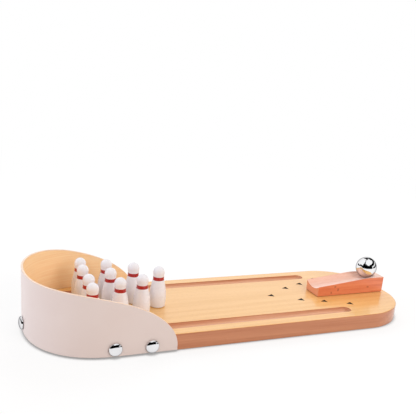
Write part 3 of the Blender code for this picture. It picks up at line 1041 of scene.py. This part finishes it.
@dataclass
class GuardStrip:
    """The strip bent round the pin end, whose rim is a quarter ellipse that falls to both toes."""

    thickness: float = 1.5 * MM
    toe_height: float = 4.4 * MM
    rim_rounding: float = 0.4 * MM
    rim_steps: int = 4
    side_steps: int = 40
    low: Vector = field(default_factory=lambda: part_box("guard_band")[0])
    high: Vector = field(default_factory=lambda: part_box("guard_band")[1])

    @property
    def pin_end(self) -> float:
        """Where the board inside the guard ends."""
        return self.low.x + self.thickness + FIT_GAP

    @property
    def board_edge(self) -> float:
        """Half the width of the board inside the guard."""
        return self.high.y - self.thickness - FIT_GAP

    def rim_height(self, x: np.ndarray) -> np.ndarray:
        """The rim over x: toe + (top - toe) sqrt(1 - s s), with s from 0 at the pin end to 1 at a toe."""
        share = np.clip((x - self.pin_end) / (self.high.x - self.pin_end), 0, 1)
        return self.toe_height + (self.high.z - self.toe_height) * np.sqrt(1 - share ** 2)

    def half_path(self) -> tuple[np.ndarray, np.ndarray]:
        """The far side of the inner wall from its toe to the pin end.

        The straight points follow reach sin a, so they crowd towards the toe, where the rim drops fastest.

        Returns:
            Rows of x, y, and the unit way out at each.
        """
        reach = self.high.x - self.pin_end
        angle = np.linspace(np.pi / 2, np.arcsin(self.board_edge / reach), self.side_steps, endpoint=False)
        straight = np.column_stack([self.pin_end + reach * np.sin(angle),
                                    np.full(self.side_steps, self.board_edge + FIT_GAP)])
        curve, curve_ways = bend(self.board_edge, FIT_GAP)
        ways = np.vstack([np.tile((0.0, 1.0), (self.side_steps, 1)), curve_ways])
        return np.vstack([straight, curve + (self.pin_end + self.board_edge, 0.0)]), ways

    def section(self, rim: np.ndarray) -> tuple[np.ndarray, np.ndarray, np.ndarray]:
        """The strip's cross-section at each rim height, from the inner foot out, up, over the rim and down.

        Args:
            rim: The rim's height at each station.

        Returns:
            Distance out of the inner wall for each section point, height for each station and section point,
            and the finish of the face that follows each section point: 0 outside, 1 inside, 2 raw edge.
        """
        radius = self.rim_rounding
        quarter = quarter_turn(self.rim_steps)
        over_out = self.thickness - radius + radius * np.cos(quarter)
        over_in = radius - radius * np.sin(quarter)
        out = np.concatenate([[0.0, self.thickness], over_out, over_in])
        sink = np.concatenate([over_in, radius - radius * np.cos(quarter)])
        height = np.hstack([np.full((len(rim), 2), self.low.z), rim[:, None] - sink])
        finishes = np.array([2, 0, 0, *[2] * (2 * self.rim_steps), 1])
        return out, height, finishes

    def build(self) -> None:
        """Make the strip, carried along its path, and dress its two faces and its raw edges."""
        half, half_ways = self.half_path()
        path = np.vstack([half * NEAR_SIDE, half[-2::-1]])
        ways = np.vstack([half_ways * NEAR_SIDE, half_ways[-2::-1]])
        out, height, finishes = self.section(self.rim_height((path + ways * self.thickness)[:, 0]))
        stations, count = height.shape
        across = path[:, None] + ways[:, None] * out[None, :, None]
        here, quads = ring_quads(stations, count)
        caps = [here[0].tolist(), here[-1, ::-1].tolist()]
        surface = Surface(np.dstack([across, height]).reshape(-1, 3), quads.tolist() + caps,
                          np.concatenate([np.tile(finishes, stations - 1), [2, 2]]),
                          np.column_stack([np.repeat(walked(path), count), height.ravel()]))
        veneer = SawnWood("bent_veneer", face="#fee0b4", face_streak="#f9d4a2", cut="#fee0b4",
                          cut_streak="#f9d4a2", grain=Grain.STRIP, streak_size=(40 * MM, 0.9 * MM, 0.9 * MM),
                          band_share=0.05, pith=(0.0, -12 * MM, 0.0), gloss=0.08, roughness=0.55).material()
        raw = SawnWood("raw_veneer_edge", face="#f8e6d6", face_streak="#ecd2bb", cut="#f4dcc8",
                       cut_streak="#e4c3a6", grain=Grain.STRIP, gloss=0.0, roughness=0.6).material()
        guard = make_piece("guard", surface, [WhiteLacquer().material(), veneer, raw])
        flatten_light(guard)
        settle(guard, Body.BASE.value, "guard_band")


@dataclass
class Studs:
    """The domed nails that hold the guard to the board's edge."""

    guard: GuardStrip
    head_height: float = 2.4 * MM
    rim_thickness: float = 0.5 * MM
    shank_diameter: float = 1.6 * MM
    shank_length: float = 9.6 * MM
    toe_setback: float = 17.4 * MM
    spacing: float = 24.4 * MM
    dome_steps: int = 16
    sides: int = 48

    def profile(self, head: float) -> np.ndarray:
        """A pointed shank under a half-elliptic dome with a small upright rim.

        Args:
            head: The head's radius.

        Returns:
            Rows of radius, height from the shank's tip to the dome's top.
        """
        shank, length = self.shank_diameter / 2, self.shank_length
        cap = dome(head, self.head_height - self.rim_thickness, self.rim_thickness, self.dome_steps)
        return np.vstack([[[0, -length], [shank, shank - length], [shank, 0], [head, 0]], cap])

    def stations(self) -> np.ndarray:
        """Walk along the guard's outer wall from each toe to the pin end.

        Returns:
            Rows of x, y and the way out, one for each stud from the near toe round to the far one.
        """
        path, ways = self.guard.half_path()
        outer = path + ways * self.guard.thickness
        distance = walked(outer)
        stops = (self.toe_setback, self.toe_setback + self.spacing, distance[-1])
        far = np.column_stack([np.interp(stops, distance, values) for values in (*outer.T, *ways.T)])
        return np.vstack([far[:2] * np.tile(NEAR_SIDE, 2), far[::-1]])

    def build(self) -> None:
        """Make each stud at its solid's height, pointing straight out of the guard."""
        steel = PolishedSteel("plated_steel", colour="#e4e4e6",
                              mark_size=(2 * MM, 0.4 * MM, 0.4 * MM)).material()
        for number, (x, y, way_x, way_y) in enumerate(self.stations(), start=1):
            node = f"guard_stud_{number}"
            low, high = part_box(node)
            outward = Vector((way_x, way_y, 0.0)).normalized()
            foot = Vector((x, y, (low.z + high.z) / 2)) + outward * FIT_GAP
            place = Matrix.Translation(foot) @ outward.to_track_quat("Z", "Y").to_matrix().to_4x4()
            nail = turned(self.profile((high.z - low.z) / 2), self.sides)
            stud = make_piece(f"stud_{number}", nail.placed(place), [steel])
            settle(stud, Body.BASE.value, node)


@dataclass
class Ramp:
    """The loose block whose round-bottomed channel climbs to the ball's seat.

    Its knots are placed by shares of its length and height, each with its radii along and up.
    """

    edge_rounding: float = 0.4 * MM
    lip_rounding: float = 0.2 * MM
    channel_radius: float = 14.5 * MM
    channel_offset: float = -0.3 * MM
    foot_height: float = 5.0 * MM
    seat_height: float = 10.2 * MM
    seat_setback: float = 11.7 * MM
    knot_depth: float = 2.5 * MM
    knot_spots: tuple[tuple[float, float, float, float], ...] = (
        (0.25, 0.57, 1.1 * MM, 0.9 * MM),
        (0.30, 0.36, 0.9 * MM, 1.3 * MM),
        (0.20, 0.18, 0.7 * MM, 1.1 * MM),
        (0.76, 0.40, 1.2 * MM, 0.8 * MM),
    )
    low: Vector = field(default_factory=lambda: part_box("ramp")[0])
    high: Vector = field(default_factory=lambda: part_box("ramp")[1])

    def outline(self) -> tuple[np.ndarray, np.ndarray]:
        """Round the four upright edges of the block's rectangle.

        Returns:
            Rows of x, y, anticlockwise, and the unit way out at each.
        """
        inset = self.edge_rounding
        left, right = self.low.x + inset, self.high.x - inset
        near, far = self.low.y + inset, self.high.y - inset
        corners = ((right, far, 0.0), (left, far, 0.5), (left, near, 1.0), (right, near, 1.5))
        points, ways = zip(*(round_corner((x, y), inset, turn, RIM_STEPS) for x, y, turn in corners))
        return np.vstack(points), np.vstack(ways)

    def channel_cutter(self) -> Object:
        """Make the channel's ball-nosed cutter, tilted down to the block's foot.

        Returns:
            The cutter.
        """
        seat_x = self.high.x - self.seat_setback
        run = seat_x - self.low.x
        tilt = np.arctan2(self.seat_height - self.foot_height, run)
        rod = ball_nosed_rod(self.channel_radius, run / np.cos(tilt) + self.channel_radius, 2 * FINE_ROUND)
        middle = (self.low.y + self.high.y) / 2 + self.channel_offset
        nose = Vector((seat_x - self.channel_radius * np.sin(tilt), middle,
                       self.low.z + self.seat_height + self.channel_radius * np.cos(tilt)))
        place = Matrix.Translation(nose) @ Matrix.Rotation(np.pi / 2 - tilt, 4, "Y")
        return make_piece("channel_cutter", rod.placed(place), [])

    def knots(self) -> tuple[tuple[Triple, Triple], ...]:
        """Place the small knots on the block's near side.

        Returns:
            The middle and the radii of each knot.
        """
        length, height = self.high.x - self.low.x, self.high.z - self.low.z
        return tuple(((self.low.x + along * length, self.low.y, self.low.z + up * height),
                      (wide, self.knot_depth, tall)) for along, up, wide, tall in self.knot_spots)

    def build(self) -> None:
        """Make the block, cut its channel and dress it."""
        # the pale face colour is partly painted sheen, and the redder cut colour on the sides partly painted
        # shade
        wood = SawnWood("ramp_beech", face="#f2c1ab", face_streak="#ecb49b", cut="#e98759",
                        cut_streak="#da7043", end_grain="#ee966b", slope=0.8,
                        streak_size=(22 * MM, 1.1 * MM, 1.1 * MM), band_spacing=3.6 * MM,
                        pith=(0.0, -30 * MM, 4 * MM), gloss=1.0, roughness=0.5, coat_roughness=0.25,
                        fuzz=0.7, knots=self.knots()).material()
        block = rounded_slab(*self.outline(), self.low.z, self.high.z, self.edge_rounding)
        ramp = make_piece("ramp_block", block, [wood])
        carve(ramp, [self.channel_cutter()])
        ease_edges(ramp, self.lip_rounding)
        flatten_light(ramp)
        settle(ramp, Body.RAMP.value, "ramp")


@dataclass
class Ball:
    """The polished steel ball."""

    sides: int = FINE_ROUND

    def build(self) -> None:
        """Make the ball on its solid's centre: rings of radius r sin a at height -r cos a."""
        low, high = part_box("ball")
        radius = (high.z - low.z) / 2
        angle = np.linspace(0, np.pi, self.sides // 2 + 1)
        profile = np.column_stack([radius * np.sin(angle), -radius * np.cos(angle)])
        profile[[0, -1], 0] = 0
        shell = turned(profile, self.sides).placed(Matrix.Translation((low + high) / 2))
        ball = make_piece("steel_ball", shell, [PolishedSteel("polished_steel").material()])
        settle(ball, Body.BALL.value, "ball")


@dataclass
class Pins:
    """Ten turned pins with a sunk band between shoulder and head."""

    base_diameter: float = 11.2 * MM
    base_rounding: float = 0.5 * MM
    belly_diameter: float = 12.2 * MM
    belly_height: float = 7.0 * MM
    shoulder_diameter: float = 8.2 * MM
    band_diameter: float = 7.8 * MM
    band_start: float = 19.85 * MM
    band_height: float = 2.5 * MM
    neck_diameter: float = 7.6 * MM
    head_diameter: float = 8.2 * MM
    step_rounding: float = 0.12 * MM
    swell_steps: int = 9
    body_steps: int = 21
    throat_steps: int = 9
    dome_steps: int = 13
    sides: int = 64
    count: int = 10

    def profile(self, height: float) -> np.ndarray:
        """Foot, belly, shoulder, band, neck and half-round head.

        The foot's rim is a quarter round and swells by a quarter sine to the belly. The body narrows to the
        shoulder by a quarter cosine, the neck widens by a half one to the head, and that is a half circle.

        Args:
            height: The pin's full height.

        Returns:
            Rows of radius, height from the foot's middle to the top.
        """
        base, belly, shoulder = self.base_diameter / 2, self.belly_diameter / 2, self.shoulder_diameter / 2
        band, neck, head = self.band_diameter / 2, self.neck_diameter / 2, self.head_diameter / 2
        band_end, dome_start = self.band_start + self.band_height, height - head
        rim, step = self.base_rounding, self.step_rounding
        quarter = quarter_turn(RIM_STEPS)
        foot = np.column_stack([base - rim + rim * np.sin(quarter), rim - rim * np.cos(quarter)])
        share = shares(self.swell_steps)
        swell = np.column_stack([base + (belly - base) * np.sin(np.pi / 2 * share),
                                 rim + (self.belly_height - rim) * share])
        share = shares(self.body_steps)
        body = np.column_stack([shoulder + (belly - shoulder) * np.cos(np.pi / 2 * share),
                                self.belly_height + (self.band_start - self.belly_height) * share])
        sunk = [(band, self.band_start + step), (band, band_end - step), (neck, band_end)]
        share = shares(self.throat_steps)[:-1]
        throat = np.column_stack([neck + (head - neck) * (1 - np.cos(np.pi * share)) / 2,
                                  band_end + (dome_start - band_end) * share])
        cap = dome(head, head, dome_start, self.dome_steps)
        return np.vstack([[(0, 0)], foot, swell, body, sunk, throat, cap])

    def build(self) -> None:
        """Make each pin at its solid's place."""
        first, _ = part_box("pin_1")
        band_low = first.z + self.band_start
        enamel = PinEnamel("pin_enamel", band_low, band_low + self.band_height).material()
        for number in range(1, self.count + 1):
            node = f"pin_{number}"
            low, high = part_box(node)
            middle = (low + high) / 2
            place = Matrix.Translation((middle.x, middle.y, low.z))
            shell = turned(self.profile(high.z - low.z), self.sides).placed(place)
            settle(make_piece(f"skittle_{number}", shell, [enamel]), node, node)


# The studio


def backdrop_rays(tree: NodeTree) -> Node:
    """Tell the rays that show the backdrop from those that only carry light.

    Args:
        tree: The material's or the world's nodes.

    Returns:
        1 for rays from the camera, off gloss and through glass, or else 0.
    """
    path = add_node(tree, "LightPath")
    first = add_node(tree, "Math", {0: path.outputs["Is Camera Ray"], 1: path.outputs["Is Glossy Ray"]},
                     operation="MAXIMUM")
    return add_node(tree, "Math", {0: first, 1: path.outputs["Is Transmission Ray"]}, operation="MAXIMUM")


@dataclass(frozen=True)
class WhiteSweep(Finish):
    """Matt white paper that glows to the backdrop's white, and keeps part of the game's shadow.

    Attributes:
        bounce: The paper as the game's light sees it.
        white: The paper as the eye sees it.
        shadow_share: How much of the real shading shows near the game.
        shadow_fade: Distances from the middle at which that share starts to fade and is gone.
        contact_reach: How near a piece still darkens the paper under it.
        contact_open: How much open sky counts as darkest, and how much as clear.
        contact_light: What is left of the glow where it is darkest.
    """

    name: str = "white_sweep"
    bounce: str = "#d4d4d4"
    white: str = "#f8f8f8"
    shadow_share: float = 0.2
    shadow_fade: tuple[float, float] = (0.28, 0.7)
    contact_reach: float = 3 * MM
    contact_open: tuple[float, float] = (0.4, 0.92)
    contact_light: float = 0.35

    def shader(self, tree: NodeTree) -> Node:
        """Return the paper, half lit and half glowing.

        Args:
            tree: The material's nodes.

        Returns:
            The shader.
        """
        seen = backdrop_rays(tree)
        tone = add_node(tree, "Mix", {0: seen, MIX_A: self.bounce, MIX_B: self.white}, data_type="RGBA")
        paint = add_node(tree, "BsdfDiffuse", {"Color": tone})
        contact = add_node(tree, "AmbientOcclusion", {"Distance": self.contact_reach}, samples=8)
        closed, clear = self.contact_open
        lit = add_node(tree, "MapRange", {"Value": contact.outputs["AO"], "From Min": closed,
                                          "From Max": clear, "To Min": self.contact_light})
        glow = add_node(tree, "Emission", {"Color": "#ffffff", "Strength": lit})
        place = add_node(tree, "TexCoord").outputs["Object"]
        away = add_node(tree, "VectorMath", {0: place}, operation="LENGTH")
        near, far = self.shadow_fade
        glowing = add_node(tree, "MapRange", {"Value": away, "From Min": near, "From Max": far,
                                              "To Min": 1 - self.shadow_share, "To Max": 1.0},
                           interpolation_type="SMOOTHSTEP")
        share = add_node(tree, "Math", {0: seen, 1: glowing}, operation="MULTIPLY")
        return add_node(tree, "MixShader", {0: share, 1: paint, 2: glow})


@dataclass(frozen=True)
class BlackPaper(Finish):
    """Matt black paper: plain dark in a mirror image."""

    name: str = "black_card"
    tone: str = "#050505"

    def shader(self, tree: NodeTree) -> Node:
        """Return the paper's shader."""
        return add_node(tree, "BsdfDiffuse", {"Color": self.tone})


@dataclass(frozen=True)
class Viewpoint:
    """The photograph's camera.

    Attributes:
        place: Where it stands.
        yaw: Degrees that it looks towards +X from +Y.
        pitch: Degrees that it looks down.
        roll: Degrees that it leans.
        focal_pixels: Focal length in the photograph's pixels.
        drop_pixels: How far the optical axis meets the picture below its middle.
        picture_width: The photograph's width in pixels.
    """

    place: Triple = (-199.6 * MM, -409.26 * MM, 190.52 * MM)
    yaw: float = 24.39
    pitch: float = 18.69
    roll: float = 4.82
    focal_pixels: float = 649.76
    drop_pixels: float = 60.5
    picture_width: int = 416

    def build(self) -> None:
        """Make the camera and let the scene use it."""
        yaw, pitch, roll = np.radians([self.yaw, self.pitch, self.roll])
        ahead = Vector((np.sin(yaw) * np.cos(pitch), np.cos(yaw) * np.cos(pitch), -np.sin(pitch)))
        level = Vector((np.cos(yaw), -np.sin(yaw), 0.0))
        above = level.cross(ahead)
        right = level * np.cos(roll) + above * np.sin(roll)
        up = above * np.cos(roll) - level * np.sin(roll)
        data = bpy.data.cameras.new("viewpoint")
        data.lens = self.focal_pixels / self.picture_width * data.sensor_width
        data.shift_y = self.drop_pixels / self.picture_width
        data.clip_start = 10 * MM
        camera = bpy.data.objects.new("viewpoint", data)
        turn = Matrix((right, up, -ahead)).transposed().to_4x4()
        camera.matrix_world = Matrix.Translation(self.place) @ turn
        bpy.context.scene.collection.objects.link(camera)
        bpy.context.scene.camera = camera


@dataclass(frozen=True)
class Softbox:
    """One rectangular studio lamp, which gloss and polish don't show: they mirror the white studio instead.

    Attributes:
        name: The lamp's name.
        place: Where it hangs.
        size: Its width and height.
        power: Its power in watts.
        colour: Its colour.
    """

    name: str
    place: Triple
    size: tuple[float, float]
    power: float
    colour: str

    def build(self) -> None:
        """Hang the lamp and aim it at the middle of the board."""
        data = bpy.data.lights.new(self.name, "AREA")
        data.shape = "RECTANGLE"
        data.size, data.size_y = self.size
        data.energy = self.power
        data.color = linear(self.colour)[:3]
        lamp = bpy.data.objects.new(self.name, data)
        place = Vector(self.place)
        lamp.matrix_world = Matrix.Translation(place) @ place.to_track_quat("Z", "Y").to_matrix().to_4x4()
        lamp.visible_camera = False
        lamp.visible_glossy = False
        bpy.context.scene.collection.objects.link(lamp)


@dataclass(frozen=True)
class BlackCard:
    """A curved black card that shows only in mirror images, as photographers use to draw a metal's edges.

    Attributes:
        name: The card's name.
        azimuths: Degrees from +X where it starts and ends, seen from the resting ball.
        elevations: Degrees above the horizon of its lower and upper edge, seen from there.
        centre: The resting ball's middle.
        radius: The card's distance from it.
        grid: Points along it and up it.
    """

    name: str
    azimuths: tuple[float, float]
    elevations: tuple[float, float]
    centre: Triple = (127 * MM, -1 * MM, 31 * MM)
    radius: float = 1.6
    grid: tuple[int, int] = (40, 12)

    def build(self, paper: Material) -> Object:
        """Make the card: centre + radius (cos e cos a, cos e sin a, sin e) over azimuths a and elevations e.

        Args:
            paper: Its material.

        Returns:
            The card.
        """
        a, e = np.meshgrid(*(np.radians(np.linspace(*span, count))
                             for span, count in zip((self.azimuths, self.elevations), self.grid)))
        ways = np.stack([np.cos(e) * np.cos(a), np.cos(e) * np.sin(a), np.sin(e)], axis=-1)
        points = np.array(self.centre) + self.radius * ways
        here = np.arange(a.size).reshape(a.shape)
        faces = np.stack([here[:-1, :-1], here[:-1, 1:], here[1:, 1:], here[1:, :-1]], axis=-1)
        card = make_piece(self.name, Surface(points.reshape(-1, 3), faces.reshape(-1, 4).tolist()), [paper])
        for ray in ("camera", "diffuse", "shadow", "transmission", "volume_scatter"):
            setattr(card, "visible_" + ray, False)
        return card


@dataclass(frozen=True)
class Studio:
    """A plain white sweep under soft lamps, with black cards that draw the ball's dark shapes.

    Attributes:
        floor_reach: Half the floor's width.
        floor_drop: How far it lies under the board.
        ambient: Strength of the even light from all round.
        ambient_colour: Its colour.
        lamps: The lamps.
        cards: The black cards.
    """

    floor_reach: float = 3.0
    floor_drop: float = 0.05 * MM
    ambient: float = 0.62
    ambient_colour: str = "#fff7f1"
    lamps: tuple[Softbox, ...] = (
        Softbox("key", (0.3, 0.6, 0.65), (0.7, 0.5), 3.15, "#eaf6ff"),
        Softbox("left_fill", (-0.9, 0.15, 0.25), (0.5, 0.5), 3.9, "#e8f0ff"),
        Softbox("right_fill", (0.9, -0.1, 0.5), (0.5, 0.5), 1.3, "#fff6ee"),
        Softbox("front_fill", (0.3, -0.9, 0.6), (0.6, 0.4), 4.9, "#fffaf8"),
    )
    cards: tuple[BlackCard, ...] = (
        BlackCard("front_dark", (188, 306), (-1, 34)),
        BlackCard("front_left_shoulder", (186, 234), (34, 48)),
        BlackCard("front_left_step", (234, 247), (34, 41)),
        BlackCard("front_right_shoulder", (274, 306), (34, 40)),
        BlackCard("left_dark", (150, 188), (8, 24)),
        BlackCard("left_tip", (116, 150), (2, 13)),
        BlackCard("right_dark", (306, 374), (21, 42)),
        BlackCard("right_low", (315, 378), (-1, 12)),
        BlackCard("right_corner", (374, 404), (14, 53)),
        BlackCard("far_dark", (40, 78), (34, 57)),
        BlackCard("near_divider", (190, 213), (48, 60)),
        BlackCard("upper_divider", (180, 200), (60, 75)),
        BlackCard("top_divider", (70, 186), (74, 79)),
        BlackCard("far_divider", (46, 72), (57, 77)),
    )

    def build_world(self) -> None:
        """Light the scene evenly from all round, in front of a white backdrop."""
        world = bpy.data.worlds.new("studio")
        world.use_nodes = True
        tree = world.node_tree
        tree.nodes.clear()
        seen = backdrop_rays(tree)
        strength = add_node(tree, "MapRange", {"Value": seen, "To Min": self.ambient, "To Max": 1.0})
        colour = add_node(tree, "Mix", {0: seen, MIX_A: self.ambient_colour, MIX_B: "#ffffff"},
                          data_type="RGBA")
        light = add_node(tree, "Background", {"Color": colour, "Strength": strength})
        add_node(tree, "OutputWorld", {"Surface": light})
        bpy.context.scene.world = world

    def build_floor(self) -> None:
        """Lay the white floor under the board."""
        corners = np.array([(-1, -1), (1, -1), (1, 1), (-1, 1)]) * self.floor_reach
        points = np.column_stack([corners, np.full(4, -self.floor_drop)])
        make_piece("floor", Surface(points, [[0, 1, 2, 3]]), [WhiteSweep().material()])

    def build(self) -> None:
        """Set up backdrop, floor, lamps and cards."""
        self.build_world()
        self.build_floor()
        for lamp in self.lamps:
            lamp.build()
        paper = BlackPaper().material()
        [card.build(paper) for card in self.cards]
        bpy.context.scene.view_settings.view_transform = "Standard"


def main() -> None:
    """Build the studio, the camera and every piece of the game."""
    logging.basicConfig(level=logging.INFO, format="%(name)s: %(message)s")
    Viewpoint().build()
    Studio().build()
    guard = GuardStrip()
    for part in (LaneBoard(), guard, Studs(guard), Ramp(), Ball(), Pins()):
        LOG.info("building %s", type(part).__name__)
        part.build()


if __name__ == "__main__":
    main()
